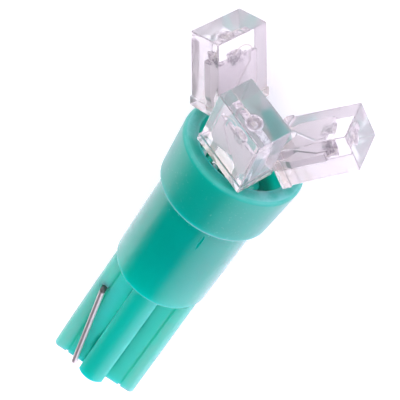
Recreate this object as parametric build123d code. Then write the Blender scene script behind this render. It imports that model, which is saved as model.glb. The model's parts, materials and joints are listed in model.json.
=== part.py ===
"""Miniature wedge-base LED bulb, lying as it comes to rest.

The bulb is designed in its own frame: the Z axis is the bulb's axis with the LEDs at the +Z end and
z = 0 on the underside of the collar, X runs across the width of the wedge, and Y through its thickness.
At the end every piece is laid down together: LEDs towards +X, resting on the floor z = 0.
All lengths are millimetres, all angles degrees.
"""
import os
from math import cos, hypot, radians, sin, tan

from build123d import *

# ---- moulded housing -------------------------------------------------------------------------------
collar_top_r = 3.08          # collar, widest just under its rounded top edge
collar_foot_r = 2.88         # collar at its underside
collar_height = 3.05
collar_edge_round = 0.22
barrel_r = 2.50
barrel_length = 6.10
barrel_edge_round = 0.12
mouth_r = 2.35               # round opening in the collar's top
mouth_depth = 2.60
cavity_r = 1.95              # narrower hollow inside the barrel
floor_thickness = 1.50       # solid plastic between the hollow and the wedge

# ---- wedge -----------------------------------------------------------------------------------------
wedge_length = 8.10
wedge_half_width_top = 2.31
wedge_half_width_tip = 2.42
wedge_half_thickness = 1.00
wedge_corner_round = 0.28
boss_half_width = 0.69
boss_shift = 0.07            # each face's boss sits this much to that face's right
boss_edge_height = 0.47      # boss above the wedge's rib face, at the boss's sides
boss_crown = 0.30            # further rise of its rounded crown
groove_x = 1.62              # fine groove along each side of both faces
groove_width = 0.14
groove_depth = 0.10

# ---- small moulding nick in the barrel, below the collar --------------------------------------------
nick_heading = -75.6
nick_z = -1.08
nick_length = 1.18
nick_depth = 0.06            # at its middle; it runs out to nothing at both ends
nick_half_angle = 50.0       # slope of the nick's two sides from straight in

# ---- contact wires ---------------------------------------------------------------------------------
wire_d = 0.30
wire_clearance = 0.02        # between a wire and the face or the bore it runs along
wire_bore_x = 1.00           # the wire's bore down through the wedge
wire_bore_y = 0.25
wire_drop = 0.05             # gap between the wedge's tip and the wire that passes under it
wire_bend_r = 0.20
anchor_x = 1.85              # blind hole in the wedge's face that takes the wire's end
anchor_below_barrel = 2.51
anchor_r = 0.20
anchor_depth = 0.72
anchor_grip = 0.12           # the wire's end stops this far short of the hole's bottom

# ---- LEDs ------------------------------------------------------------------------------------------
led_width = 2.95
led_thickness = 1.78
led_height = 3.85            # root of the flange to the flat end
led_draft = 0.6              # the clear body narrows towards its end
led_edge_round = 0.07
flange_lip = 0.10
flange_height = 0.48
# face: heading that the LED's outer wide face looks to; lean: tilt of the LED away from the bulb's axis;
# swing: heading of that lean measured from the face heading; root: centre of the LED's foot
leds = {
    "a": dict(face=149.6, lean=28.6, swing=28.0, root=(-1.85, 1.27, 3.92)),
    "b": dict(face=-117.1, lean=18.8, swing=10.6, root=(-0.34, -1.46, 3.60)),
    "c": dict(face=-0.4, lean=37.4, swing=4.2, root=(1.47, 0.39, 3.82)),
}

# ---- inside each LED -------------------------------------------------------------------------------
post_x = 0.80                # the two leads come out this far either side of the middle
lead_d = 0.30
frame_thickness = 0.36
# outlines (x, z) of the two flat lead frame plates in the LED's mid-plane, parted by a slanting gap
cathode_outline = [(0.65, 0.0), (0.95, 0.0), (0.95, 0.50), (1.15, 0.75), (1.15, 2.55), (-0.64, 2.55),
                   (-0.64, 2.06), (0.30, 0.99), (0.65, 0.62)]
anode_outline = [(-0.95, 0.0), (-0.65, 0.0), (-0.65, 0.50), (0.16, 0.93), (-0.80, 2.02), (-0.80, 2.48),
                 (-1.15, 2.48), (-1.15, 0.75), (-0.95, 0.50)]
head_x = 0.15                # round head with the reflector cup, on the cathode plate
head_foot = 2.20
head_foot_r = 0.30
head_top = 2.75
head_top_r = 0.42
cup_top_r = 0.34
cup_floor_r = 0.20
cup_depth = 0.24
chip_side = 0.22
chip_height = 0.10
bond_d = 0.05
bond_x = -0.975              # the bond wire lands here on top of the anode plate
bond_z = 2.48
bond_rise = 0.15             # middle of the bond wire's arch above the cup's rim

# ---- wiring inside the hollow ----------------------------------------------------------------------
lead_stub = 0.45             # straight run of each lead below its LED before it bends
lead_bend_r = 0.22
lead_end_z = 0.75            # lower end of the soldered leads
joint_top_z = 1.65           # where the soldered pairs begin
pair_gap = 0.04              # between the two leads of a soldered pair
joint_ab = (-1.30, -0.95)     # soldered joint of LED a's cathode and LED b's anode
joint_ab_heading = 135       # from the second lead of the pair to the first
joint_bc = (0.70, -1.35)     # soldered joint of LED b's cathode and LED c's anode
joint_bc_heading = 40
joint_ar_heading = 80        # where LED a's anode stands, seen from the resistor's lead
joint_cw_heading = 60        # where LED c's cathode stands, seen from the far wire
solder_r = 0.43
solder_end_taper = 0.20
resistor_r = 0.74
resistor_length = 3.00
resistor_edge_round = 0.18
resistor_lead_d = 0.34
cavity_gap = 0.35            # between the hollow's floor and the resistor

# ---- derived ---------------------------------------------------------------------------------------
barrel_foot_z = -barrel_length
tip_z = barrel_foot_z - wedge_length
cavity_floor_z = barrel_foot_z + floor_thickness
boss_edge = wedge_half_thickness + boss_edge_height
boss_crest = boss_edge + boss_crown
crown_r = (boss_half_width ** 2 + boss_crown ** 2) / (2 * boss_crown)
wire_face_y = wedge_half_thickness + wire_d / 2 + wire_clearance
anchor_z = barrel_foot_z - anchor_below_barrel
wire_top_z = cavity_floor_z + cavity_gap
resistor_top_z = wire_top_z + resistor_length


def revolve_profile(points):
    """Solid of revolution about Z from (radius, z) points."""
    face = make_face(Polyline(*[(r, 0, z) for r, z in points], close=True))
    return revolve(face, Axis.Z, 360)


def prism(points, low_y, high_y):
    """Polygon given by (x, z) points, extruded along Y from low_y to high_y."""
    face = make_face(Polyline(*[(x, low_y, z) for x, z in points], close=True))
    return extrude(face, amount=high_y - low_y, dir=(0, 1, 0))


def half_turn(shape):
    """The same shape turned half a turn about the bulb's axis."""
    return Rot(0, 0, 180) * shape


# ---- housing ---------------------------------------------------------------------------------------
def round_body():
    """Collar and nicked barrel in one, with the hollow still filled."""
    collar = revolve_profile([(0, 0), (collar_foot_r, 0), (collar_top_r, collar_height), (0, collar_height)])
    rims = collar.edges().filter_by(GeomType.CIRCLE).sort_by(Axis.Z)
    collar = fillet(rims[-1], collar_edge_round)
    barrel = Pos(0, 0, barrel_foot_z) * Cylinder(
        barrel_r, barrel_length, align=(Align.CENTER, Align.CENTER, Align.MIN))
    foot = barrel.edges().filter_by(GeomType.CIRCLE).sort_by(Axis.Z)[0]
    return collar + (fillet(foot, barrel_edge_round) - nick())


def blade():
    """Flat tapering blade of the wedge with rounded long corners."""
    top = barrel_foot_z + floor_thickness / 2
    face = [(-wedge_half_width_tip, tip_z), (wedge_half_width_tip, tip_z),
            (wedge_half_width_top, top), (-wedge_half_width_top, top)]
    solid = prism(face, -wedge_half_thickness, wedge_half_thickness)
    middle = (tip_z + top) / 2
    long_edges = [e for e in solid.edges() if abs(e.center().Z - middle) < 0.01]
    return fillet(long_edges, wedge_corner_round)


def boss():
    """Crowned rib down the middle of the near (-Y) face, drawn in plan and extruded up to the barrel."""
    left, right = boss_shift - boss_half_width, boss_shift + boss_half_width
    outline = [
        Line((left, 0), (left, -boss_edge)),
        ThreePointArc((left, -boss_edge), (boss_shift, -boss_crest), (right, -boss_edge)),
        Line((right, -boss_edge), (right, 0)),
        Line((right, 0), (left, 0)),
    ]
    plan = make_face(outline)
    height = wedge_length + floor_thickness / 2
    return Pos(0, 0, tip_z) * extrude(plan, amount=height)


def grooves():
    """Cutter for the two fine grooves of the near face, one by each edge."""
    cutter = None
    for x in (-groove_x, groove_x):
        bar = prism([(x - groove_width / 2, tip_z - 1), (x + groove_width / 2, tip_z - 1),
                     (x + groove_width / 2, barrel_foot_z), (x - groove_width / 2, barrel_foot_z)],
                    -wedge_half_thickness - 1, groove_depth - wedge_half_thickness)
        cutter = bar if cutter is None else cutter + bar
    return cutter


def nick():
    """Cutter for the nick: a shallow disc with sloping sides, dipped into the barrel along its length."""
    disc_r = (nick_length / 2) ** 2 / (2 * nick_depth) + nick_depth / 2
    half = disc_r * tan(radians(nick_half_angle))
    section = revolve_profile([(0, -half), (disc_r, 0), (0, half)])
    return Rot(0, 0, nick_heading) * Pos(barrel_r - nick_depth + disc_r, 0, nick_z) * Rot(90, 0, 0) * section


def wire_bores():
    """Cutters for the near wire's bore through the wedge and for its anchor hole in the near face."""
    bore_r = wire_d / 2 + 2 * wire_clearance
    length = cavity_floor_z - tip_z + 2
    bore = Pos(-wire_bore_x, -wire_bore_y, tip_z - 1) * Cylinder(
        bore_r, length, align=(Align.CENTER, Align.CENTER, Align.MIN))
    anchor = Pos(-anchor_x, -wedge_half_thickness - 0.5, anchor_z) * Rot(-90, 0, 0) * Cylinder(
        anchor_r, anchor_depth + 0.5, align=(Align.CENTER, Align.CENTER, Align.MIN))
    return bore + anchor


def make_housing():
    """The one-piece moulding: collar, hollow barrel and wedge."""
    wedge = blade()
    wedge = wedge - grooves() - half_turn(grooves())
    wedge = wedge + boss() + half_turn(boss())
    solid = round_body() + wedge
    mouth = Pos(0, 0, collar_height - mouth_depth) * Cylinder(
        mouth_r, mouth_depth + 1, align=(Align.CENTER, Align.CENTER, Align.MIN))
    hollow = Pos(0, 0, cavity_floor_z) * Cylinder(
        cavity_r, collar_height - cavity_floor_z, align=(Align.CENTER, Align.CENTER, Align.MIN))
    return solid - mouth - hollow - wire_bores() - half_turn(wire_bores())


# ---- wires and leads -------------------------------------------------------------------------------
def round_wire(points, bend_r, diameter):
    """Round wire along straight runs joined by smooth bends."""
    path = FilletPolyline(*points, radius=bend_r)
    start = Plane(origin=path @ 0, z_dir=path % 0)
    return sweep(start * Circle(diameter / 2), path=path)


def contact_wire():
    """Near wire: up inside the hollow, down through the wedge, round its tip and up to the anchor hole."""
    turn_z = tip_z - wire_drop - wire_d / 2
    hook_z = anchor_z - (anchor_r - wire_d / 2 - 2 * wire_clearance) / 2
    inside_y = -wedge_half_thickness + anchor_depth - anchor_grip
    points = [(-wire_bore_x, -wire_bore_y, wire_top_z), (-wire_bore_x, -wire_bore_y, turn_z),
              (-wire_bore_x, -wire_face_y, turn_z), (-anchor_x, -wire_face_y, hook_z),
              (-anchor_x, inside_y, hook_z)]
    return round_wire(points, wire_bend_r, wire_d)


# ---- LEDs ------------------------------------------------------------------------------------------
def led_plane(spec):
    """LED frame: origin at its root, X across its width, Y inwards through its thickness, Z up to its end."""
    face, lean, heading = radians(spec["face"]), radians(spec["lean"]), radians(spec["face"] + spec["swing"])
    up = (sin(lean) * cos(heading), sin(lean) * sin(heading), cos(lean))
    rise = (cos(face) * up[0] + sin(face) * up[1]) / up[2]
    inward = Vector(-cos(face), -sin(face), rise).normalized()
    across = inward.cross(Vector(*up))
    return Plane(origin=spec["root"], x_dir=across, z_dir=up)


def block(x0, x1, half_y, z0, z1):
    """Box between two x and two z values, centred in y."""
    return Pos((x0 + x1) / 2, 0, z0) * Box(x1 - x0, 2 * half_y, z1 - z0,
                                           align=(Align.CENTER, Align.CENTER, Align.MIN))


def lens_blank():
    """Clear rectangular body with its slightly wider foot, still solid."""
    spread = 2 * led_height * tan(radians(led_draft))
    plan = Rectangle(led_width + spread, led_thickness + spread)
    body = extrude(plan, amount=led_height, taper=led_draft)
    foot_edges = body.faces().sort_by(Axis.Z)[0].edges()
    body = fillet([e for e in body.edges() if e not in foot_edges], led_edge_round)
    foot = block(-led_width / 2 - flange_lip, led_width / 2 + flange_lip, led_thickness / 2 + flange_lip,
                 0, flange_height)
    foot = fillet(foot.edges().filter_by(Axis.Z), led_edge_round)
    return body + foot


def frame_plate(outline):
    """Flat lead frame plate in the LED's mid-plane."""
    return prism(outline, -frame_thickness / 2, frame_thickness / 2)


def cathode_frame():
    """Cathode plate with its round head and reflector cup."""
    head = Pos(head_x, 0, head_foot) * Cone(head_foot_r, head_top_r, head_top - head_foot,
                                            align=(Align.CENTER, Align.CENTER, Align.MIN))
    cup = Pos(head_x, 0, head_top) * Cone(cup_floor_r, cup_top_r, cup_depth,
                                          align=(Align.CENTER, Align.CENTER, Align.MAX))
    return frame_plate(cathode_outline) + head - cup


def chip():
    """Die on the floor of the reflector cup."""
    low = head_top - cup_depth
    return block(head_x - chip_side / 2, head_x + chip_side / 2, chip_side / 2, low, low + chip_height)


def bond_wire():
    """Arched wire from the chip's top over to the anode plate."""
    low = head_top - cup_depth + chip_height
    middle = ((head_x + bond_x) / 2, 0, head_top + bond_rise)
    path = ThreePointArc((head_x, 0, low), middle, (bond_x, 0, bond_z))
    return sweep(Plane(origin=path @ 0, z_dir=path % 0) * Circle(bond_d / 2), path=path)


def lead_points(plane, x, foot):
    """Route of a lead from the LED's root to its soldered end above the given (x, y) foot."""
    out = plane.from_local_coords((x, 0, 0))
    bend = plane.from_local_coords((x, 0, -lead_stub))
    return [tuple(out), tuple(bend), (foot[0], foot[1], joint_top_z), (foot[0], foot[1], lead_end_z)]


def lead(plane, x, foot):
    """Lead below the LED, bent down into the hollow."""
    return round_wire(lead_points(plane, x, foot), lead_bend_r, lead_d)


def pair(centre, heading):
    """Feet of two leads that stand side by side about a centre, the first one towards the heading."""
    half = (lead_d + pair_gap) / 2
    dx, dy = half * cos(radians(heading)), half * sin(radians(heading))
    return (centre[0] + dx, centre[1] + dy), (centre[0] - dx, centre[1] - dy)


def solder(centre):
    """Solder bead around a pair of leads; the leads are cut out of it afterwards."""
    bead = Pos(centre[0], centre[1], lead_end_z - solder_end_taper) * Cylinder(
        solder_r, joint_top_z - lead_end_z, align=(Align.CENTER, Align.CENTER, Align.MIN))
    return chamfer(bead.edges().filter_by(GeomType.CIRCLE), solder_end_taper)


# ---- all the pieces --------------------------------------------------------------------------------
def wiring_plan():
    """Centres of the four soldered joints, and the two feet of each LED as (cathode, anode)."""
    joints = {"ab": joint_ab, "bc": joint_bc}
    foot_a_cathode, foot_b_anode = pair(joint_ab, joint_ab_heading)
    foot_c_anode, foot_b_cathode = pair(joint_bc, joint_bc_heading)
    risers = {"ar": (-wire_bore_x, -wire_bore_y, resistor_lead_d, joint_ar_heading),
              "cw": (wire_bore_x, wire_bore_y, wire_d, joint_cw_heading)}
    feet = {}
    for name, (x, y, diameter, heading) in risers.items():
        step = (diameter + lead_d) / 2 + pair_gap
        dx, dy = step * cos(radians(heading)), step * sin(radians(heading))
        feet[name] = (x + dx, y + dy)
        joints[name] = (x + dx / 2, y + dy / 2)
    return joints, {"a": (foot_a_cathode, feet["ar"]), "b": (foot_b_cathode, foot_b_anode),
                    "c": (feet["cw"], foot_c_anode)}


def make_led(name, plane, feet):
    """The five pieces of one LED; its cathode stands on the +X side of its frame."""
    place = plane.location
    inside = {"cathode": cathode_frame(), "anode": frame_plate(anode_outline), "chip": chip(),
              "bond_wire": bond_wire()}
    lens = lens_blank()
    for piece in inside.values():
        lens = lens - piece
    pieces = {f"led_{name}_{key}": place * piece for key, piece in inside.items()}
    pieces[f"led_{name}_cathode"] += lead(plane, post_x, feet[0])
    pieces[f"led_{name}_anode"] += lead(plane, -post_x, feet[1])
    pieces[f"led_{name}_lens"] = place * lens
    return pieces


def upright(x, y, z, length, diameter):
    """Cylinder standing on height z."""
    return Pos(x, y, z) * Cylinder(diameter / 2, length, align=(Align.CENTER, Align.CENTER, Align.MIN))


def make_parts():
    """Every piece in the bulb's own frame, and the frames of the LEDs."""
    parts = {"housing": make_housing()}
    wire = contact_wire()
    parts["contact_wire_near"] = wire
    body = upright(-wire_bore_x, -wire_bore_y, wire_top_z, resistor_length, 2 * resistor_r)
    parts["resistor"] = fillet(body.edges().filter_by(GeomType.CIRCLE), resistor_edge_round)
    parts["resistor_lead"] = upright(-wire_bore_x, -wire_bore_y, resistor_top_z,
                                     joint_top_z - resistor_top_z, resistor_lead_d)
    # the far wire has no resistor, so it runs on up to its own joint
    parts["contact_wire_far"] = half_turn(wire) + upright(wire_bore_x, wire_bore_y, wire_top_z,
                                                          joint_top_z - wire_top_z, wire_d)

    planes = {name: led_plane(spec) for name, spec in leds.items()}
    joints, feet = wiring_plan()
    for name, plane in planes.items():
        parts.update(make_led(name, plane, feet[name]))

    soldered = [shape for name, shape in parts.items()
                if name.endswith(("cathode", "anode", "resistor_lead", "wire_far"))]
    for name, centre in joints.items():
        bead = solder(centre)
        for piece in soldered:
            bead = bead - piece
        parts[f"solder_{name}"] = bead
    return parts, planes


# ---- laying the bulb down --------------------------------------------------------------------------
def solve(function, low, high):
    """Where a rising function crosses zero between low and high, by halving."""
    for _ in range(50):
        middle = (low + high) / 2
        low, high = (low, middle) if function(middle) > 0 else (middle, high)
    return (low + high) / 2


def circle_reach(radius, centre, down):
    """How far a circle or round edge square to the bulb's axis reaches in a direction."""
    return radius * hypot(down[0], down[1]) + sum(c * d for c, d in zip(centre, down))


def collar_reach(down):
    """The collar's flank, at its underside or where its top edge starts to round off."""
    round_z = collar_height - collar_edge_round
    round_r = collar_foot_r + (collar_top_r - collar_foot_r) * round_z / collar_height
    return max(circle_reach(collar_foot_r, (0, 0, 0), down), circle_reach(round_r, (0, 0, round_z), down))


def boss_reach(down):
    """The far face's boss at the tip of the wedge."""
    return circle_reach(crown_r, (-boss_shift, boss_crest - crown_r, tip_z), down)


def led_reach(planes, down):
    """The LED corner that reaches lowest, at an end face or at a foot."""
    reach = []
    for plane in planes.values():
        for half_w, half_t, z in ((led_width / 2, led_thickness / 2, led_height),
                                  (led_width / 2 + flange_lip, led_thickness / 2 + flange_lip, 0)):
            for x, y in ((-half_w, -half_t), (-half_w, half_t), (half_w, -half_t), (half_w, half_t)):
                reach.append(plane.from_local_coords((x, y, z)).dot(Vector(*down)))
    return max(reach)


def downward(roll, pitch):
    """Direction of the floor, seen from the bulb's own frame."""
    heading = radians(90 + roll)
    return cos(radians(pitch)) * cos(heading), cos(radians(pitch)) * sin(heading), -sin(radians(pitch))


def resting_pitch(roll):
    """Pitch at which the collar and the wedge's boss touch the floor together."""
    return solve(lambda p: boss_reach(downward(roll, p)) - collar_reach(downward(roll, p)), 0, 20)


def lying(planes):
    """Turn that lays the bulb on its collar, its wedge's boss and the foot of the LED that meets the floor."""
    def led_gap(roll):
        down = downward(roll, resting_pitch(roll))
        return led_reach(planes, down) - collar_reach(down)

    roll = solve(led_gap, 0, 20)
    down = Vector(*downward(roll, resting_pitch(roll)))
    along = Vector(0, 0, 1) + down * -down.Z
    return Plane(origin=(0, 0, 0), x_dir=along.normalized(), z_dir=-down).location.inverse()


def main():
    parts, planes = make_parts()
    turn = lying(planes)
    laid = {name: turn * shape for name, shape in parts.items()}
    box = Compound(children=[shape.moved(Location()) for shape in laid.values()]).bounding_box()
    middle = box.center()
    to_floor = Pos(-middle.X, -middle.Y, -box.min.Z)
    os.makedirs("parts", exist_ok=True)
    for name, shape in laid.items():
        export_step(to_floor * shape, f"parts/{name}.step")


if __name__ == "__main__":
    main()
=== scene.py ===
"""Lying wedge LED bulb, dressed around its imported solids: teal housing, clear epoxy LEDs, tinned wire.

Lengths are metres, or millimetres where a name ends in _MM; materials work out their patterns in millimetres.
The bulb's own frame is read from the record's mounts: Z runs along the bulb towards the LEDs, z = 0 is the
underside of the collar, and the wedge's top face looks along -Y. An LED's own frame starts in the middle of
its foot's underside, and its axes run across, through and up the LED.
"""
import json
from collections import namedtuple
from math import cos, pi, radians, sin

import bpy
import numpy as np
from mathutils import Matrix, Vector


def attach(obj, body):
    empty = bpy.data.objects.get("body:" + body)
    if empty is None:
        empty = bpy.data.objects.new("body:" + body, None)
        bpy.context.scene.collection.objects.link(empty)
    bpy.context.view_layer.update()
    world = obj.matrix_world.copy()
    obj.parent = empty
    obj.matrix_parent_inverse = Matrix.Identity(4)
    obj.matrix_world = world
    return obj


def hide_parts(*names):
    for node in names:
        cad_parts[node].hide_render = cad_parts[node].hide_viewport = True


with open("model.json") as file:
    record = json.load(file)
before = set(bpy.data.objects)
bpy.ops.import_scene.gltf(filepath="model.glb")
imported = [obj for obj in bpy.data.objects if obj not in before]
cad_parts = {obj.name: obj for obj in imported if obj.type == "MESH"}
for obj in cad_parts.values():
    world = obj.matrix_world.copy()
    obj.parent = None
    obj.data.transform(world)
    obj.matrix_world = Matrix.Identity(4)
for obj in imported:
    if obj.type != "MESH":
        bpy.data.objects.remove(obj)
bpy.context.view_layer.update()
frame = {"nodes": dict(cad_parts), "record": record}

MM = 0.001

# ---- camera -----------------------------------------------------------------------------------------
CAMERA_AZIMUTH = 94.86       # 0 looks along +Y, 90 looks along -X
CAMERA_ELEVATION = 52.16
CAMERA_ROLL = -151.55
CAMERA_DISTANCE = 73.19 * MM
CAMERA_AIM = Vector((1.787, 0.1615, 2.326)) * MM
CAMERA_LENS_MM = 138.92
SENSOR_MM = 36.0
CLIP_START, CLIP_END = 1 * MM, 10.0

# ---- floor and light --------------------------------------------------------------------------------
FLOOR_RADIUS = 0.6
FLOOR_POINTS = 96
FLOOR_COLOUR = (0.80, 0.80, 0.80)
FLOOR_ROUGHNESS = 0.9
FLOOR_GLOW_COLOUR = (1.0, 0.95, 1.04)
# What is added to the floor where it is seen directly, where it is mirrored, and where epoxy shows it.
FLOOR_GLOW = (("Is Camera Ray", 0.50), ("Is Glossy Ray", 0.90), ("Is Transmission Ray", 0.40))

# The studio is a tunnel along X. Angles run from straight up towards -Y, where the long softbox hangs.
STUDIO_COLOUR = (2.10, 1.81, 2.25)
STUDIO_PROFILE = ((-180, 0.50), (-150, 0.55), (-98, 0.48), (-70, 0.0), (15, 0.0), (29, 0.50), (42, 0.72),
                  (56, 0.90), (80, 1.0), (110, 0.95), (150, 0.58), (180, 0.50))    # degrees and strength
FRONT_COLOUR = (1.10, 1.00, 1.14)    # the open end of the studio, towards +X
FRONT_EDGE = (-0.30, 0.25)           # x of the directions where that end starts and where it is at its full
DARK_SEEN_THROUGH = 0.75     # what clear epoxy shows of the unlit part, as a share of the open end
BLACK = (0.0, 0.0, 0.0)

FILL_PLACE = (0.0, 0.18, 0.22)
FILL_SIZE = 0.30
FILL_POWER = 0.42

# ---- the bulb's main heights and radii, in its own frame --------------------------------------------
COLLAR_TOP_MM = 3.05
COLLAR_R_MM = 3.08
BARREL_FOOT_MM = -6.10
BARREL_R_MM = 2.50
MOUTH_R_MM = 2.35
GROOVE_X_MM = 1.62
WIRE_END_MM = -8.61          # where the visible wire turns into its hole in the wedge

# ---- LED bodies -------------------------------------------------------------------------------------
LED_NAMES = ("led_a", "led_b", "led_c")
LENS_EDGE_MM = 0.07          # rounding of the end's edges and the long corners
LENS_DRAFT = radians(0.6)
FOOT_HEIGHT_MM = 0.48
FOOT_EDGE_MM = 0.05
SMALLEST_ROUND_MM = 0.01
LEVEL_MM = 0.0001            # points this near an LED's highest one belong to its flat end
ARC_STEPS = 5

# How an LED's flats are told from its rounds: how many of the largest are looked at, the digits that normals
# are grouped by, and how nearly opposite or square to each other two of them are.
FLATS = 24
NORMAL_DIGITS = 3
OPPOSITE = -0.99999
SQUARE = 0.1
TINY_AREA = 1e-20

# ---- teal plastic -----------------------------------------------------------------------------------
# A pair tells where a mask starts and where it is at its full, so a falling pair grows downwards or inwards.
TEAL_DEEP = (0.0, 0.36, 0.28)        # the collar and the barrel
# TEAL_BOSS and TEAL_CHANNEL are partly the plastic's own depth of colour and partly painted light: the wedge,
# and most of all its thin channels, are painted lighter, as if light shone through them.
TEAL_BOSS = (0.0, 0.46, 0.36)        # the thickest part of the wedge, along its middle
TEAL_CHANNEL = (0.05, 0.64, 0.50)
# Painted light: a lighter teal that lifts the shade in the channel beside each boss.
TEAL_PAINTED_LIFT = (0.05, 0.80, 0.66)     # the channel beside each boss that the light reaches least
# Painted haze: the fins outside the fine grooves are paler, standing in for the light haze along the thin
# edges.
TEAL_FIN_PAINTED_HAZE = (0.16, 0.55, 0.45)        # outside the fine grooves
# Painted light and shade inside the mouth: a bright teal near the top stands in for light through the
# translucent walls, and a dark one deeper down for the shade in the hollow.
TEAL_MOUTH_PAINTED_GLOW = (0.01, 0.78, 0.62)
TEAL_MOUTH_PAINTED_SHADE = (0.05, 0.29, 0.26)
# Painted reflection: the pale, patchy haze on the collar's flat top stands in for the softbox's reflection.
TEAL_RIM_PAINTED_SHEEN = (0.17, 0.48, 0.45)        # the collar's flat top, at its most hazy
# Pale teal for the flecks on the collar and for the painted highlights along the edges.
TEAL_FLECK_AND_HIGHLIGHT = (0.16, 0.54, 0.48)
# Painted shade: a darker teal towards grazing angles, that tones down the bright outline.
TEAL_GRAZING_PAINTED_SHADE = (0.05, 0.27, 0.31)

BOSS_HEIGHT_MM = (-2.0, -7.0)        # where the deep tone turns to the boss's
WEDGE_HEIGHT_MM = (BARREL_FOOT_MM + 0.04, BARREL_FOOT_MM - 0.02)
CHANNEL_SIDE_MM = (0.60, 0.95)       # distances from the bulb's middle plane
FIN_SIDE_MM = (GROOVE_X_MM - 0.10, GROOVE_X_MM + 0.40)
SHADED_INNER_MM, SHADED_OUTER_MM = (0.60, 0.80), (1.70, 0.90)
SHADED_SIGN = (0.0, 0.1)             # x times y, which is above 0 in the shaded channel of either face
SIDE_WANDER_MM = (-0.12, 0.12)       # how far the borders between those tones wander
WANDER_GLOSS = (0.35, 0.65)

# Bounds of the painted light and painted shade inside the mouth.
HOLLOW_RADIUS_MM = (MOUTH_R_MM + 0.12, MOUTH_R_MM + 0.04)
HOLLOW_HEIGHT_MM = (0.3, 0.4)        # its lower end
HOLLOW_DEEP_MM = (1.5, 0.6)          # where it turns dark

# Where the painted reflection on the collar's top lies and how patchy it is.
RIM_HEIGHT_MM = (COLLAR_TOP_MM - 0.04, COLLAR_TOP_MM - 0.01)
RIM_THIN_TOWARDS = radians(250.0)    # heading round the bulb where the rim's haze is thinnest
RIM_THIN_MM, RIM_THIN_SHARE = (1.9, 2.35), (1.0, 0.3)
HAZE_NOISE = (1.4, 4.0, 0.6)         # a noise has its scale, detail and roughness
HAZE_EDGE, HAZE_SHARE = (0.40, 0.60), (0.45, 1.0)
FLECK_NOISE = (7.0, 2.0, 0.7)
FLECK_EDGE, FLECK_SHARE = (0.64, 0.78), (0.0, 0.6)
FLECK_HEIGHT_MM = (-1.0, -0.3)
# Thin pale lines of painted highlight along the edges.
PALE_LINES_MM = ((COLLAR_TOP_MM - 0.06, 2.75, 0.10, 0.4),              # height, inner radius, width and share
                 (0.03, COLLAR_R_MM - 0.30, 0.045, 0.5),
                 (BARREL_FOOT_MM + 0.05, BARREL_R_MM - 0.2, 0.07, 1.0))
LINE_NOISE, LINE_EDGE, LINE_SHARE = (1.6, 4.0), (0.3, 0.6), (0.35, 1.0)
GRAZING_FACING, GRAZING_SHARE = (0.55, 1.0), (0.0, 0.5)

TEAL_GLOSS, TEAL_ROUGHNESS = (0.3, 0.7), (0.17, 0.24)
COLLAR_HEIGHT_MM = (-0.05, 0.05)     # where the duller collar starts
COLLAR_DULLER, WEDGE_DULLER = 0.13, 0.22
TEAL_BUMP, SKIN_DEPTH_MM = 0.20, 0.02
TEAL_IOR = 1.49
TEAL_GLOW_DEPTH = 2.4 * MM
TEAL_GLOW_REACH = (0.3, 1.0, 0.85)   # how far red, green and blue travel in it, as shares of that depth

# ---- moulded skin: noise of its waves, grain and streaks, and their shares in its height and gloss ---
WAVE_SCALE, WAVE_DETAIL, WAVE_GLOSS = 0.8, 2.0, 0.6
GRAIN_SCALE, GRAIN_DETAIL, GRAIN_ROUGHNESS, GRAIN_HEIGHT, GRAIN_GLOSS = 14.0, 3.0, 0.6, 0.06, 0.4
SKIN_STREAK_NOISE, SKIN_STREAK_STRETCH, SKIN_STREAK_HEIGHT = (3.5, 2.0), (1.0, 1.0, 0.1), 0.25

# ---- clear epoxy ------------------------------------------------------------------------------------
EPOXY_CLOUDY = (0.90, 0.88, 0.90)
EPOXY_CLEAR = (0.95, 0.935, 0.95)
EPOXY_BROWN = (0.85, 0.74, 0.62)             # patches at the root
# Painted reflection: a teal patch on the end stands in for the housing seen through the epoxy.
EPOXY_PAINTED_HOUSING = (0.33, 0.80, 0.75)      # on the end, where the housing stands behind it
# Painted light: the underside is painted in the teal light it picks up from the housing, darker over the near
# wall.
EPOXY_PAINTED_TEAL_UNDER = (0.74, 0.88, 0.86)             # the underside, which picks up the housing's teal
EPOXY_PAINTED_TEAL_OVER_WALL = (0.0, 0.47, 0.38)         # the same where it stands over the housing's near wall
NEAR_WALL_Y_MM = (-0.3, -0.8)

ROOT_HEIGHT_MM = (1.3, 0.1)
ROOT_NOISE, ROOT_EDGE = (1.1, 2.0), (0.42, 0.62)
# Bounds of the painted teal light on the underside.
UNDERSIDE_MM = (0.05, 0.01)
UNDER_NOISE, UNDER_EDGE = (1.5, 2.0), (0.40, 0.55)
UNDER_SHARE, UNDER_FULL = (0.35, 0.80), 1.0  # least share away from and over the near wall, and the most

# The patch of painted reflection on the end: its bounds in the bulb's own x, and then up, across, on a slant
# and through the LED.
PATCH_X_MM = (1.5, 1.2)
PATCH_UP_MM = (3.80, 3.84)
PATCH_ACROSS_MM = (-0.10, 0.25)
PATCH_SLOPE, PATCH_SLANT_MM = 0.25, (0.12, 0.32)
PATCH_THROUGH_MM = (0.84, 0.66)

EPOXY_WAVE_SCALE, EPOXY_GRAIN_SCALE = 1.4, 9.0
EPOXY_BUMP = 0.35
EPOXY_IOR = 1.53
EPOXY_ROUGHNESS = 0.07
EPOXY_TRANSMISSION = 0.80

# ---- metals: colour, roughness, and how often the streaks repeat along X, Y and Z --------------------
WIRE_TIN = ((0.88, 0.84, 0.81), 0.48, (8.0, 8.0, 0.6))
LEAD_TIN = ((0.97, 0.94, 0.95), 0.38, (3.0, 3.0, 1.5))
SOLDER_TIN = ((0.66, 0.67, 0.69), 0.30, (2.0, 2.0, 2.0))
BOND_METAL = ((0.80, 0.74, 0.68), 0.25, (4.0, 4.0, 4.0))
STREAK_NOISE = (6.0, 4.0, 0.6)
STREAK_SHADE = 0.72          # the dark streaks, as a share of the metal's colour
STREAK_DULLER = 0.12
STREAK_BUMP, STREAK_DEPTH_MM = 0.2, 0.01
STREAK_EDGE = (0.3, 0.7)

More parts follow.
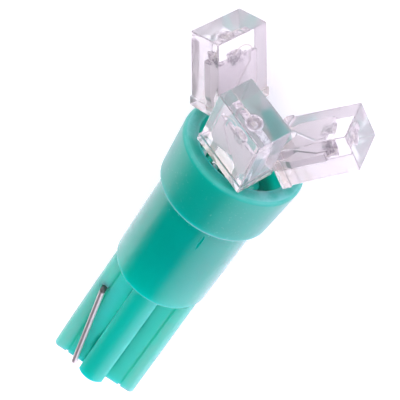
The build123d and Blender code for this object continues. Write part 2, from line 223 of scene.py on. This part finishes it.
# Painted shade where the wire turns into its hole.
WIRE_HOLE_MM = (WIRE_END_MM - 0.14, WIRE_END_MM - 0.04)
WIRE_HOLE_PAINTED_SHADE = (0.13, 0.14, 0.13)

HEAD_UP_MM = (2.05, 2.45)    # the lead frame's head, in an LED's own frame
HEAD_SIDE_MM = (0.75, 0.35)
HEAD_BAND_MM = (2.44, 2.48)
MARK_NOISE, MARK_EDGE = (4.0, 4.0, 0.7), (0.48, 0.55)
MARK_COLOUR = (0.44, 0.40, 0.44)
MARK_BUMP, MARK_DEPTH_MM = 0.8, 0.04
MARK_LEVEL = (0.10, 0.6)     # height of the marks away from the head and on it

# ---- die and resistor -------------------------------------------------------------------------------
DIE_DARK, DIE_PALE = (0.46, 0.44, 0.40), (0.74, 0.72, 0.66)
DIE_GRAIN_SCALE = 30.0
DIE_ROUGHNESS = 0.3
LACQUER_DARK, LACQUER_PALE = (0.42, 0.28, 0.15), (0.55, 0.40, 0.24)
LACQUER_MOTTLE_SCALE = 5.0
LACQUER_GLOSS, LACQUER_ROUGHNESS = (0.3, 0.7), (0.35, 0.5)


# ---- frames and meshes ------------------------------------------------------------------------------
def bulb_frame():
    """Matrix from the bulb's own frame to the row frame, from the barrel's axis and the collar's shoulder."""
    mounts = {m["name"]: m for m in frame["record"]["mounts"]}
    up = -Vector(mounts["barrel"]["axis"]).normalized()
    shoulder = Vector(mounts["shoulder"]["pos_m"])
    barrel = Vector(mounts["barrel"]["pos_m"])
    origin = barrel + up * (shoulder - barrel).dot(up)
    across = (shoulder - origin).normalized()
    matrix = Matrix((across, up.cross(across), up)).transposed().to_4x4()
    matrix.translation = origin
    return matrix


BULB = bulb_frame()


def add_object(name, data):
    """New object in the scene, from its mesh, light or camera."""
    thing = bpy.data.objects.new(name, data)
    bpy.context.scene.collection.objects.link(thing)
    return thing


def mesh_object(name, points, faces, smooth=True):
    """New mesh piece from row-frame points and faces."""
    mesh = bpy.data.meshes.new(name)
    mesh.from_pydata([tuple(p) for p in points], [], faces)
    mesh.polygons.foreach_set("use_smooth", [smooth] * len(mesh.polygons))
    mesh.validate()
    mesh.update()
    return add_object(name, mesh)


def tube_faces(rings, around):
    """Quads between rings of equal count, closed by one flat face at each end, all facing outwards."""
    ring = np.arange(rings - 1)[:, None] * around
    step = np.arange(around)
    after = (step + 1) % around
    quads = np.stack([ring + step, ring + after, ring + around + after, ring + around + step], axis=-1)
    faces = [tuple(q) for q in quads.reshape(-1, 4).tolist()]
    faces.append(tuple(range(around - 1, -1, -1)))
    faces.append(tuple(range((rings - 1) * around, rings * around)))
    return faces


# ---- LED bodies -------------------------------------------------------------------------------------
# Middle of its foot's underside, unit axes as rows, half sizes at its end and at its foot, and height.
Led = namedtuple("Led", "centre axes half_end half_foot height")


def node_triangles(node):
    """Corner points (n, 3, 3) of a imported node's triangles."""
    mesh = frame["nodes"][node].data
    mesh.calc_loop_triangles()
    points = np.empty(len(mesh.vertices) * 3)
    mesh.vertices.foreach_get("co", points)
    corners = np.empty(len(mesh.loop_triangles) * 3, dtype=int)
    mesh.loop_triangles.foreach_get("vertices", corners)
    return points.reshape(-1, 3)[corners].reshape(-1, 3, 3)


def block_axes(triangles):
    """Unit axes of a drafted block, sorted by its extent along them: thickness, width, height.

    Triangles are grouped by normal; each axis is the normal of a large flat that has a flat exactly opposite.
    """
    a, b, c = triangles[:, 0], triangles[:, 1], triangles[:, 2]
    cross = np.cross(b - a, c - a)
    unit = cross / np.maximum(np.linalg.norm(cross, axis=1), TINY_AREA)[:, None]
    keys, index = np.unique(np.round(unit, NORMAL_DIGITS), axis=0, return_inverse=True)
    total = np.stack([np.bincount(index.ravel(), cross[:, k], len(keys)) for k in range(3)], axis=1)
    flats = total[np.argsort(-np.linalg.norm(total, axis=1))[:FLATS]]
    flats /= np.linalg.norm(flats, axis=1)[:, None]
    axes = []
    for flat in flats:
        if (flats @ flat).min() < OPPOSITE and all(abs(flat @ axis) < SQUARE for axis in axes):
            axes.append(flat)
    points = triangles.reshape(-1, 3)
    return sorted(axes, key=lambda axis: np.ptp(points @ axis))


def led_frame(name):
    """An LED's own frame, its half sizes at the end and at the foot, and its height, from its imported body.

    Up points away from the bulb's origin and through leans the way of the bulb's own Z.
    """
    points = node_triangles(f"{name}_lens")
    through, across, up = block_axes(points)
    points = points.reshape(-1, 3)
    up = up * np.sign(up @ (points.mean(axis=0) - np.array(BULB.translation)))
    through = through * np.sign(through @ np.array(BULB.col[2][:3]))
    across = np.cross(through, up)
    axes = np.stack([across, through, up])
    local = points @ axes.T
    low, high = local.min(axis=0), local.max(axis=0)
    middle = (low + high) / 2
    centre = np.array([middle[0], middle[1], low[2]]) @ axes
    end = local[local[:, 2] > high[2] - LEVEL_MM * MM] - middle
    half_end = np.abs(end[:, :2]).max(axis=0) + LENS_EDGE_MM * MM
    return Led(centre, axes, half_end, (high - low)[:2] / 2, high[2] - low[2])


def led_matrix(led):
    """Matrix from an LED's own frame to the row frame."""
    matrix = Matrix(led.axes.T.tolist()).to_4x4()
    matrix.translation = led.centre
    return matrix


def lens_profile(height, foot_grow):
    """Heights and outsets up the side of an LED; an outset is what the ring's half sizes have over the end's.

    The foot stands out by foot_grow. It and the end have quarter circles on their edges: the edge's radius
    times 1 - cos t one way and 1 - sin t the other. Between them the side leans in by the draft's tangent.
    """
    foot_top, edge, rim = FOOT_HEIGHT_MM * MM, FOOT_EDGE_MM * MM, LENS_EDGE_MM * MM
    turn = np.linspace(0, pi / 2, ARC_STEPS)
    slope = np.tan(LENS_DRAFT)
    foot_low = np.stack([edge * (1 - np.cos(turn)), foot_grow - edge * (1 - np.sin(turn))])
    foot_high = np.stack([foot_top - edge * (1 - np.sin(turn)), foot_grow - edge * (1 - np.cos(turn))])
    side = np.stack([[foot_top, height - rim], [(height - foot_top) * slope, rim * slope]])
    end = np.stack([height - rim * (1 - np.sin(turn)), -rim * (1 - np.cos(turn))])
    return np.concatenate([foot_low, foot_high, side, end[:, 1:]], axis=1)


def rounded_rectangle(half, grow, corner):
    """Points (rings, around, 2) of rectangles with rounded corners.

    Each ring's half sizes are half + grow. Its corners are quarter circles, the radius times cos t and sin t,
    whose centres stand that radius inside them. The radius is corner, or corner + grow where grow is below 0.
    """
    turn = np.linspace(0, pi / 2, ARC_STEPS)
    angle = (np.arange(4)[:, None] * pi / 2 + turn).ravel()
    sign = np.repeat([[1, 1], [-1, 1], [-1, -1], [1, -1]], ARC_STEPS, axis=0)
    radius = np.clip(corner + grow, SMALLEST_ROUND_MM * MM, corner)
    centre = (half + grow[:, None] - radius[:, None])[:, None, :] * sign
    circle = np.stack([np.cos(angle), np.sin(angle)], axis=-1)
    return centre + radius[:, None, None] * circle


def make_lens(name, led):
    """Clear LED body: a rounded rectangle carried up a profile with a wider foot and a rounded end."""
    heights, grow = lens_profile(led.height, led.half_foot[0] - led.half_end[0])
    outline = rounded_rectangle(led.half_end, grow, LENS_EDGE_MM * MM)
    rings, around = outline.shape[:2]
    local = np.concatenate([outline, np.broadcast_to(heights[:, None, None], (rings, around, 1))], axis=2)
    points = led.centre + local.reshape(-1, 3) @ led.axes
    lens = mesh_object(f"{name}_clear_body", points, tube_faces(rings, around), smooth=False)
    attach(lens, "root")
    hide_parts(f"{name}_lens")
    return lens


# ---- shader helpers ---------------------------------------------------------------------------------
class Nodes:
    """A shader node tree with short ways to add nodes; a value is a number, vector, colour or output."""

    def __init__(self, tree):
        """Takes the tree that the nodes go into."""
        self.tree = tree

    def fill(self, socket, value):
        """Links an output to a socket, or sets a plain value on it."""
        if isinstance(value, bpy.types.NodeSocket):
            self.tree.links.new(value, socket)
        else:
            socket.default_value = (*value, 1.0) if socket.type == "RGBA" else value

    def node(self, kind, values=None, **settings):
        """New node with its settings, and with values in its sockets, by their name or number."""
        node = self.tree.nodes.new(kind)
        for key, setting in settings.items():
            setattr(node, key, setting)
        for key, value in (values or {}).items():
            self.fill(node.inputs[key], value)
        return node

    def effect(self, effect, values):
        """Outputs of a shared effect, placed in this tree with its own values."""
        return self.node("ShaderNodeGroup", values, node_tree=effect.tree).outputs

    def math(self, operation, *values, clamp=False):
        """Result of a Math node."""
        numbered = dict(enumerate(values))
        return self.node("ShaderNodeMath", numbered, operation=operation, use_clamp=clamp).outputs[0]

    def product(self, *masks):
        """Masks multiplied together."""
        result = masks[0]
        for mask in masks[1:]:
            result = self.math("MULTIPLY", result, mask)
        return result

    def split(self, vector):
        """The three parts of a vector."""
        return self.node("ShaderNodeSeparateXYZ", {0: vector}).outputs

    def place(self, matrix):
        """Object coordinates turned into the frame that the matrix comes from, in millimetres."""
        inverse = matrix.inverted()
        coordinates = self.node("ShaderNodeTexCoord").outputs["Object"]
        return self.node("ShaderNodeMapping", {"Vector": coordinates, "Location": inverse.translation / MM,
                                               "Rotation": inverse.to_euler(),
                                               "Scale": (1 / MM,) * 3}).outputs["Vector"]

    def stretched(self, place, scale):
        """A place with each of its three parts scaled."""
        return self.node("ShaderNodeMapping", {"Vector": place, "Scale": scale}).outputs["Vector"]

    def noise(self, place, scale, detail=3.0, roughness=0.5):
        """Noise value of about 0 to 1."""
        return self.node("ShaderNodeTexNoise", {"Vector": place, "Scale": scale, "Detail": detail,
                                                "Roughness": roughness}).outputs["Fac"]

    def span(self, value, given, wanted=(0.0, 1.0), smooth=False):
        """Value carried from the given range to the wanted one and held inside it, smoothly if asked."""
        return self.node("ShaderNodeMapRange", {"Value": value, "From Min": given[0], "From Max": given[1],
                                                "To Min": wanted[0], "To Max": wanted[1]},
                         interpolation_type="SMOOTHSTEP" if smooth else "LINEAR").outputs["Result"]

    def blend(self, mask, colour_a, colour_b):
        """Colour a where the mask is 0 and colour b where it is 1."""
        return self.node("ShaderNodeMix", {0: mask, 6: colour_a, 7: colour_b}, data_type="RGBA").outputs[2]

    def bump(self, height, strength, depth_mm):
        """Normal of a surface with that height on it, as deep as depth_mm at the strength of 1."""
        return self.node("ShaderNodeBump", {"Height": height, "Strength": strength,
                                            "Distance": depth_mm * MM}).outputs["Normal"]


class Finish(Nodes):
    """A new material."""

    def __init__(self, name):
        """Makes the material with its Principled BSDF."""
        self.material = bpy.data.materials.new(name)
        self.material.use_nodes = True
        super().__init__(self.material.node_tree)

    def set(self, **values):
        """Fills sockets of the Principled BSDF; underscores stand for spaces."""
        for key, value in values.items():
            self.fill(self.tree.nodes["Principled BSDF"].inputs[key.replace("_", " ")], value)


class Effect(Nodes):
    """A new shader node group for an effect that is used more than once, with named inputs and outputs."""

    def __init__(self, name, inputs, outputs):
        """Makes the group; an input has its default, or None for a vector, and each output is a number."""
        super().__init__(bpy.data.node_groups.new(name, "ShaderNodeTree"))
        for key, default in inputs.items():
            kind = "NodeSocketVector" if default is None else "NodeSocketFloat"
            socket = self.tree.interface.new_socket(key, in_out="INPUT", socket_type=kind)
            if default is not None:
                socket.default_value = default
        for key in outputs:
            self.tree.interface.new_socket(key, in_out="OUTPUT", socket_type="NodeSocketFloat")
        self.given = self.tree.nodes.new("NodeGroupInput").outputs
        self.result = self.tree.nodes.new("NodeGroupOutput").inputs


# ---- shared effects ---------------------------------------------------------------------------------
def ring_line_effect():
    """Mask of a thin line round the bulb at one height, outside one radius, broken up by noise."""
    effect = Effect("ring_line", {"Vector": None, "Height": 0.0, "Inner Radius": 1.0, "Width": 0.1}, ["Mask"])
    place = effect.given["Vector"]
    x, y, z = effect.split(place)
    squares = effect.math("ADD", effect.math("MULTIPLY", x, x), effect.math("MULTIPLY", y, y))
    outside = effect.math("GREATER_THAN", effect.math("SQRT", squares), effect.given["Inner Radius"])
    off = effect.math("ABSOLUTE", effect.math("SUBTRACT", z, effect.given["Height"]))
    near = effect.math("SUBTRACT", 1.0, effect.math("DIVIDE", off, effect.given["Width"]), clamp=True)
    broken = effect.span(effect.noise(place, *LINE_NOISE), LINE_EDGE, LINE_SHARE)
    effect.fill(effect.result["Mask"], effect.product(near, outside, broken))
    return effect


def moulded_skin_effect():
    """Height of a moulded skin, from soft waves, fine grain and lengthwise streaks, and its uneven gloss."""
    inputs = {"Vector": None, "Wave Scale": WAVE_SCALE, "Grain Scale": GRAIN_SCALE}
    effect = Effect("moulded_skin", inputs, ["Height", "Gloss"])
    place = effect.given["Vector"]
    wave = effect.noise(place, effect.given["Wave Scale"], WAVE_DETAIL)
    grain = effect.noise(place, effect.given["Grain Scale"], GRAIN_DETAIL, GRAIN_ROUGHNESS)
    streak = effect.noise(effect.stretched(place, SKIN_STREAK_STRETCH), *SKIN_STREAK_NOISE)
    height = effect.math("ADD", wave, effect.math("MULTIPLY", grain, GRAIN_HEIGHT))
    height = effect.math("ADD", height, effect.math("MULTIPLY", streak, SKIN_STREAK_HEIGHT))
    gloss = effect.math("ADD", effect.math("MULTIPLY", wave, WAVE_GLOSS),
                        effect.math("MULTIPLY", grain, GRAIN_GLOSS))
    effect.fill(effect.result["Height"], height)
    effect.fill(effect.result["Gloss"], gloss)
    return effect


def drawn_grain_effect():
    """Streaks of drawn metal: noise on coordinates that are stretched along the wire."""
    effect = Effect("drawn_grain", {"Vector": None, "Stretch": None}, ["Grain"])
    streak = effect.stretched(effect.given["Vector"], effect.given["Stretch"])
    effect.fill(effect.result["Grain"], effect.noise(streak, *STREAK_NOISE))
    return effect


# ---- teal plastic -----------------------------------------------------------------------------------
def wedge_tones(teal, place, wedge, gloss, colour):
    """The wedge's tones by distance from its middle: colour on the boss, then the channels, lighter partly by
    painted light, then the fins with a painted haze, and painted light that lifts the shade in the channel
    beside each boss.
    """
    x, y, _ = teal.split(place)
    aside = teal.math("ADD", teal.math("ABSOLUTE", x), teal.span(gloss, WANDER_GLOSS, SIDE_WANDER_MM))
    for side, tone in ((CHANNEL_SIDE_MM, TEAL_CHANNEL), (FIN_SIDE_MM, TEAL_FIN_PAINTED_HAZE)):
        colour = teal.blend(teal.product(wedge, teal.span(aside, side, smooth=True)), colour, tone)
    # Painted light that lifts the shade in the channel beside each boss, where the light reaches least.
    shaded = teal.product(wedge, teal.span(aside, SHADED_INNER_MM),
                          teal.span(aside, SHADED_OUTER_MM, smooth=True),
                          teal.span(teal.math("MULTIPLY", x, y), SHADED_SIGN))
    return teal.blend(shaded, colour, TEAL_PAINTED_LIFT)


def hollow_painted_light(teal, place, height, colour):
    """The inside of the mouth, with painted light near the collar's top and painted shade deeper down."""
    flat = teal.node("ShaderNodeVectorMath", {0: place, 1: (1.0, 1.0, 0.0)}, operation="MULTIPLY").outputs[0]
    radius = teal.node("ShaderNodeVectorMath", {0: flat}, operation="LENGTH").outputs["Value"]
    hollow = teal.product(teal.span(radius, HOLLOW_RADIUS_MM), teal.span(height, HOLLOW_HEIGHT_MM))
    tone = teal.blend(teal.span(height, HOLLOW_DEEP_MM, smooth=True), TEAL_MOUTH_PAINTED_GLOW, TEAL_MOUTH_PAINTED_SHADE)
    return teal.blend(hollow, colour, tone)


def collar_sheen_and_flecks(teal, place, height, colour):
    """Painted reflection on the collar's flat top, a patchy pale sheen that is thinner towards one heading,
    and pale flecks on the collar.
    """
    patches = teal.span(teal.noise(place, *HAZE_NOISE), HAZE_EDGE, HAZE_SHARE)
    heading = (cos(RIM_THIN_TOWARDS), sin(RIM_THIN_TOWARDS), 0.0)
    towards = teal.node("ShaderNodeVectorMath", {0: place, 1: heading}, operation="DOT_PRODUCT")
    thinned = teal.span(towards.outputs["Value"], RIM_THIN_MM, RIM_THIN_SHARE, smooth=True)
    colour = teal.blend(teal.product(teal.span(height, RIM_HEIGHT_MM), patches, thinned), colour, TEAL_RIM_PAINTED_SHEEN)
    flecks = teal.span(teal.noise(place, *FLECK_NOISE), FLECK_EDGE, FLECK_SHARE)
    return teal.blend(teal.product(flecks, teal.span(height, FLECK_HEIGHT_MM)), colour, TEAL_FLECK_AND_HIGHLIGHT)


def painted_edge_highlights(teal, place, colour):
    """Painted highlights: thin pale lines along the collar's two edges and the barrel's foot."""
    for height, inner, width, share in PALE_LINES_MM:
        values = {"Vector": place, "Height": height, "Inner Radius": inner, "Width": width}
        line = teal.effect(RING_LINE, values)
        colour = teal.blend(teal.product(line["Mask"], share), colour, TEAL_FLECK_AND_HIGHLIGHT)
    return colour


def teal_plastic():
    """Glossy, slightly see-through moulded teal; its tones for wall thickness are partly its own colour and
    partly painted light through thin walls, with painted light and shade in the hollow, a painted reflection
    on the collar's top, painted highlights on the edges and painted shade at grazing angles.
    """
    teal = Finish("teal_plastic")
    place = teal.place(BULB)
    height = teal.split(place)[2]
    skin = teal.effect(MOULDED_SKIN, {"Vector": place})
    wedge = teal.span(height, WEDGE_HEIGHT_MM)

    # Lighter down the wedge: partly the plastic's own colour, partly painted light through its thinner
    # plastic.
    colour = teal.blend(teal.span(height, BOSS_HEIGHT_MM, smooth=True), TEAL_DEEP, TEAL_BOSS)
    colour = wedge_tones(teal, place, wedge, skin["Gloss"], colour)
    colour = hollow_painted_light(teal, place, height, colour)
    colour = collar_sheen_and_flecks(teal, place, height, colour)
    colour = painted_edge_highlights(teal, place, colour)
    # Painted shade towards grazing angles.
    facing = teal.node("ShaderNodeLayerWeight", {"Blend": 0.5}).outputs["Facing"]
    colour = teal.blend(teal.span(facing, GRAZING_FACING, GRAZING_SHARE), colour, TEAL_GRAZING_PAINTED_SHADE)

    rough = teal.span(skin["Gloss"], TEAL_GLOSS, TEAL_ROUGHNESS)
    for part, duller in ((teal.span(height, COLLAR_HEIGHT_MM), COLLAR_DULLER), (wedge, WEDGE_DULLER)):
        rough = teal.math("MULTIPLY_ADD", part, duller, rough)
    teal.set(Base_Color=colour, Roughness=rough, Normal=teal.bump(skin["Height"], TEAL_BUMP, SKIN_DEPTH_MM),
             IOR=TEAL_IOR, Subsurface_Weight=1.0, Subsurface_Scale=TEAL_GLOW_DEPTH,
             Subsurface_Radius=TEAL_GLOW_REACH)
    return teal.material


# ---- clear epoxy ------------------------------------------------------------------------------------
def painted_housing_patch(epoxy, place, led_place, near_wall):
    """Mask of the patch of painted reflection on an LED's end, where the teal housing stands behind it, with
    one side on a slant.
    """
    across, through, up = epoxy.split(led_place)
    slant = epoxy.math("MULTIPLY_ADD", across, PATCH_SLOPE, through)
    return epoxy.product(near_wall,
                         epoxy.span(epoxy.split(place)[0], PATCH_X_MM),
                         epoxy.span(up, PATCH_UP_MM),
                         epoxy.span(across, PATCH_ACROSS_MM, smooth=True),
                         epoxy.span(slant, PATCH_SLANT_MM, smooth=True),
                         epoxy.span(through, PATCH_THROUGH_MM))


def painted_teal_below(epoxy, place, up, near_wall, colour):
    """The colour so far, with the underside in painted teal light from the housing, in soft clouds."""
    clouds = epoxy.span(epoxy.noise(place, *UNDER_NOISE), UNDER_EDGE)
    least = epoxy.span(near_wall, (0.0, 1.0), UNDER_SHARE)
    under = epoxy.product(epoxy.span(up, UNDERSIDE_MM), epoxy.span(clouds, (0.0, 1.0), (least, UNDER_FULL)))
    return epoxy.blend(under, colour, epoxy.blend(near_wall, EPOXY_PAINTED_TEAL_UNDER, EPOXY_PAINTED_TEAL_OVER_WALL))


def clear_epoxy(name, led):
    """Cast epoxy, a little milky, with slightly wavy faces, brown patches at its root, and painted teal light
    from the housing on its end and underside.
    """
    epoxy = Finish(f"{name}_epoxy")
    place, led_place = epoxy.place(BULB), epoxy.place(led_matrix(led))
    up = epoxy.split(led_place)[2]
    near_wall = epoxy.span(epoxy.split(place)[1], NEAR_WALL_Y_MM)
    skin = epoxy.effect(MOULDED_SKIN, {"Vector": place, "Wave Scale": EPOXY_WAVE_SCALE,
                                       "Grain Scale": EPOXY_GRAIN_SCALE})

    colour = epoxy.blend(skin["Gloss"], EPOXY_CLOUDY, EPOXY_CLEAR)
    root = epoxy.product(epoxy.span(up, ROOT_HEIGHT_MM, smooth=True),
                         epoxy.span(epoxy.noise(place, *ROOT_NOISE), ROOT_EDGE))
    colour = epoxy.blend(root, colour, EPOXY_BROWN)
    colour = epoxy.blend(painted_housing_patch(epoxy, place, led_place, near_wall), colour, EPOXY_PAINTED_HOUSING)
    colour = painted_teal_below(epoxy, place, up, near_wall, colour)
    epoxy.set(Base_Color=colour, Normal=epoxy.bump(skin["Height"], EPOXY_BUMP, SKIN_DEPTH_MM), IOR=EPOXY_IOR,
              Roughness=EPOXY_ROUGHNESS, Transmission_Weight=EPOXY_TRANSMISSION)
    return epoxy.material


# ---- metals, die and resistor -----------------------------------------------------------------------
def drawn_metal(name, colour, roughness, stretch):
    """Tinned or drawn metal with fine darker, duller streaks; returns the finish and its streaked colour."""
    metal = Finish(name)
    grain = metal.effect(DRAWN_GRAIN, {"Vector": metal.place(BULB), "Stretch": stretch})["Grain"]
    streaked = metal.blend(grain, tuple(STREAK_SHADE * part for part in colour), colour)
    metal.set(Base_Color=streaked, Metallic=1.0, Normal=metal.bump(grain, STREAK_BUMP, STREAK_DEPTH_MM),
              Roughness=metal.span(grain, STREAK_EDGE, (roughness + STREAK_DULLER, roughness)))
    return metal, streaked


def plain_metal(name, metal):
    """Drawn metal with nothing added to it."""
    return drawn_metal(name, *metal)[0].material


def contact_wire_metal():
    """Dull tinned wire, with painted shade where it turns into its hole in the wedge's face."""
    wire, tin = drawn_metal("contact_wire_tin", *WIRE_TIN)
    hole = wire.span(wire.split(wire.place(BULB))[2], WIRE_HOLE_MM)
    wire.set(Base_Color=wire.blend(hole, tin, WIRE_HOLE_PAINTED_SHADE))
    return wire.material


def lead_frame_metal(name, led):
    """Pale stamped lead frame, with dark and bright marks crowded round the head that carries the cup."""
    plate, tin = drawn_metal(f"{name}_lead_frame_tin", *LEAD_TIN)
    across, _, up = plate.split(plate.place(led_matrix(led)))
    head = plate.product(plate.span(up, HEAD_UP_MM, smooth=True),
                         plate.span(plate.math("ABSOLUTE", across), HEAD_SIDE_MM, smooth=True))
    head = plate.math("MAXIMUM", head, plate.span(up, HEAD_BAND_MM))
    grit = plate.noise(plate.place(BULB), *MARK_NOISE)
    marks = plate.product(head, plate.span(grit, MARK_EDGE))
    level = plate.math("MULTIPLY", grit, plate.span(head, (0.0, 1.0), MARK_LEVEL))
    plate.set(Base_Color=plate.blend(marks, tin, MARK_COLOUR),
              Normal=plate.bump(level, MARK_BUMP, MARK_DEPTH_MM))
    return plate.material


def die_finish():
    """Pale grey die with a fine mottle."""
    die = Finish("die")
    grain = die.noise(die.place(BULB), DIE_GRAIN_SCALE)
    die.set(Base_Color=die.blend(grain, DIE_DARK, DIE_PALE), Roughness=DIE_ROUGHNESS)
    return die.material


def resistor_lacquer():
    """Tan lacquer with a slight mottle."""
    lacquer = Finish("resistor_lacquer")
    mottle = lacquer.noise(lacquer.place(BULB), LACQUER_MOTTLE_SCALE)
    lacquer.set(Base_Color=lacquer.blend(mottle, LACQUER_DARK, LACQUER_PALE),
                Roughness=lacquer.span(mottle, LACQUER_GLOSS, LACQUER_ROUGHNESS))
    return lacquer.material


def dress(nodes, material):
    """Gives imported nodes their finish, in each of their material slots."""
    for node in nodes:
        for slot in frame["nodes"][node].material_slots:
            slot.material = material


# ---- studio -----------------------------------------------------------------------------------------
def make_camera():
    """Camera on a sphere round its aim point, rolled about its own axis."""
    azimuth, elevation = radians(CAMERA_AZIMUTH), radians(CAMERA_ELEVATION)
    back = Vector((sin(azimuth) * cos(elevation), -cos(azimuth) * cos(elevation), sin(elevation)))
    data = bpy.data.cameras.new("camera")
    data.lens = CAMERA_LENS_MM
    data.sensor_width = SENSOR_MM
    data.clip_start, data.clip_end = CLIP_START, CLIP_END
    camera = add_object("camera", data)
    turn = back.to_track_quat("Z", "Y").to_matrix().to_4x4() @ Matrix.Rotation(radians(CAMERA_ROLL), 4, "Z")
    camera.matrix_world = Matrix.Translation(CAMERA_AIM + back * CAMERA_DISTANCE) @ turn
    bpy.context.scene.camera = camera


def make_floor():
    """Plain pale floor: a round sheet at z = 0, the radius times cos t and sin t, with a white of its own."""
    angle = np.linspace(0, 2 * pi, FLOOR_POINTS, endpoint=False)
    points = np.stack([np.cos(angle), np.sin(angle), np.zeros_like(angle)], axis=1) * FLOOR_RADIUS
    floor = mesh_object("floor", points, [tuple(range(len(angle)))])
    white = Finish("floor_white")
    path = white.node("ShaderNodeLightPath").outputs
    glow = 0.0
    for ray, strength in FLOOR_GLOW:
        glow = white.math("MAXIMUM", glow, white.math("MULTIPLY", path[ray], strength))
    white.set(Base_Color=FLOOR_COLOUR, Roughness=FLOOR_ROUGHNESS, Specular_IOR_Level=0.0,
              Emission_Color=FLOOR_GLOW_COLOUR, Emission_Strength=glow)
    floor.data.materials.append(white.material)


def make_world():
    """Studio with a long softbox on the -Y side, an open pale end towards +X and an unlit rest."""
    world = bpy.data.worlds.new("studio")
    bpy.context.scene.world = world
    world.use_nodes = True
    sky = Nodes(world.node_tree)
    x, y, z = sky.split(sky.node("ShaderNodeTexCoord").outputs["Generated"])
    angle = sky.math("ARCTAN2", sky.math("MULTIPLY", y, -1.0), z)
    ramp = sky.node("ShaderNodeValToRGB", {"Fac": sky.span(angle, (-pi, pi))})
    stops = ramp.color_ramp.elements    # it has its first and last stop from the start
    for degrees, _ in STUDIO_PROFILE[1:-1]:
        stops.new((degrees + 180) / 360)
    for stop, (_, strength) in zip(stops, STUDIO_PROFILE):
        stop.color = (strength,) * 3 + (1.0,)
    tunnel = sky.blend(ramp.outputs["Color"], BLACK, STUDIO_COLOUR)

    path = sky.node("ShaderNodeLightPath").outputs
    through = sky.math("MULTIPLY", path["Is Transmission Ray"], DARK_SEEN_THROUGH)
    front = sky.math("MAXIMUM", sky.span(x, FRONT_EDGE, smooth=True), through)
    open_end = sky.blend(front, BLACK, FRONT_COLOUR)
    light = sky.node("ShaderNodeMix", {0: 1.0, 6: tunnel, 7: open_end}, data_type="RGBA",
                     blend_type="LIGHTEN")
    background = sky.tree.nodes["Background"].inputs
    sky.fill(background["Color"], light.outputs[2])
    sky.fill(background["Strength"], 1.0)


def make_fill_lamp():
    """Square fill light that faces the camera's aim point and doesn't show in gloss."""
    data = bpy.data.lights.new("fill_left", "AREA")
    data.size = FILL_SIZE
    data.energy = FILL_POWER
    lamp = add_object("fill_left", data)
    lamp.visible_glossy = False
    turn = (Vector(FILL_PLACE) - CAMERA_AIM).to_track_quat("Z", "Y")
    lamp.matrix_world = Matrix.Translation(FILL_PLACE) @ turn.to_matrix().to_4x4()


# ---- build ------------------------------------------------------------------------------------------
RING_LINE = ring_line_effect()
MOULDED_SKIN = moulded_skin_effect()
DRAWN_GRAIN = drawn_grain_effect()

for name in LED_NAMES:
    led = led_frame(name)
    make_lens(name, led).data.materials.append(clear_epoxy(name, led))
    dress([f"{name}_cathode", f"{name}_anode"], lead_frame_metal(name, led))
dress([f"{name}_chip" for name in LED_NAMES], die_finish())
dress([f"{name}_bond_wire" for name in LED_NAMES], plain_metal("bond_wire_metal", BOND_METAL))

dress(["housing"], teal_plastic())
dress(["contact_wire_near", "contact_wire_far"], contact_wire_metal())
dress(["resistor"], resistor_lacquer())
dress(["resistor_lead"], plain_metal("resistor_lead_tin", LEAD_TIN))
dress(["solder_ab", "solder_bc", "solder_ar", "solder_cw"], plain_metal("solder", SOLDER_TIN))

make_floor()
make_world()
make_fill_lamp()
make_camera()

scene = bpy.context.scene
scene.view_settings.view_transform = "Standard"
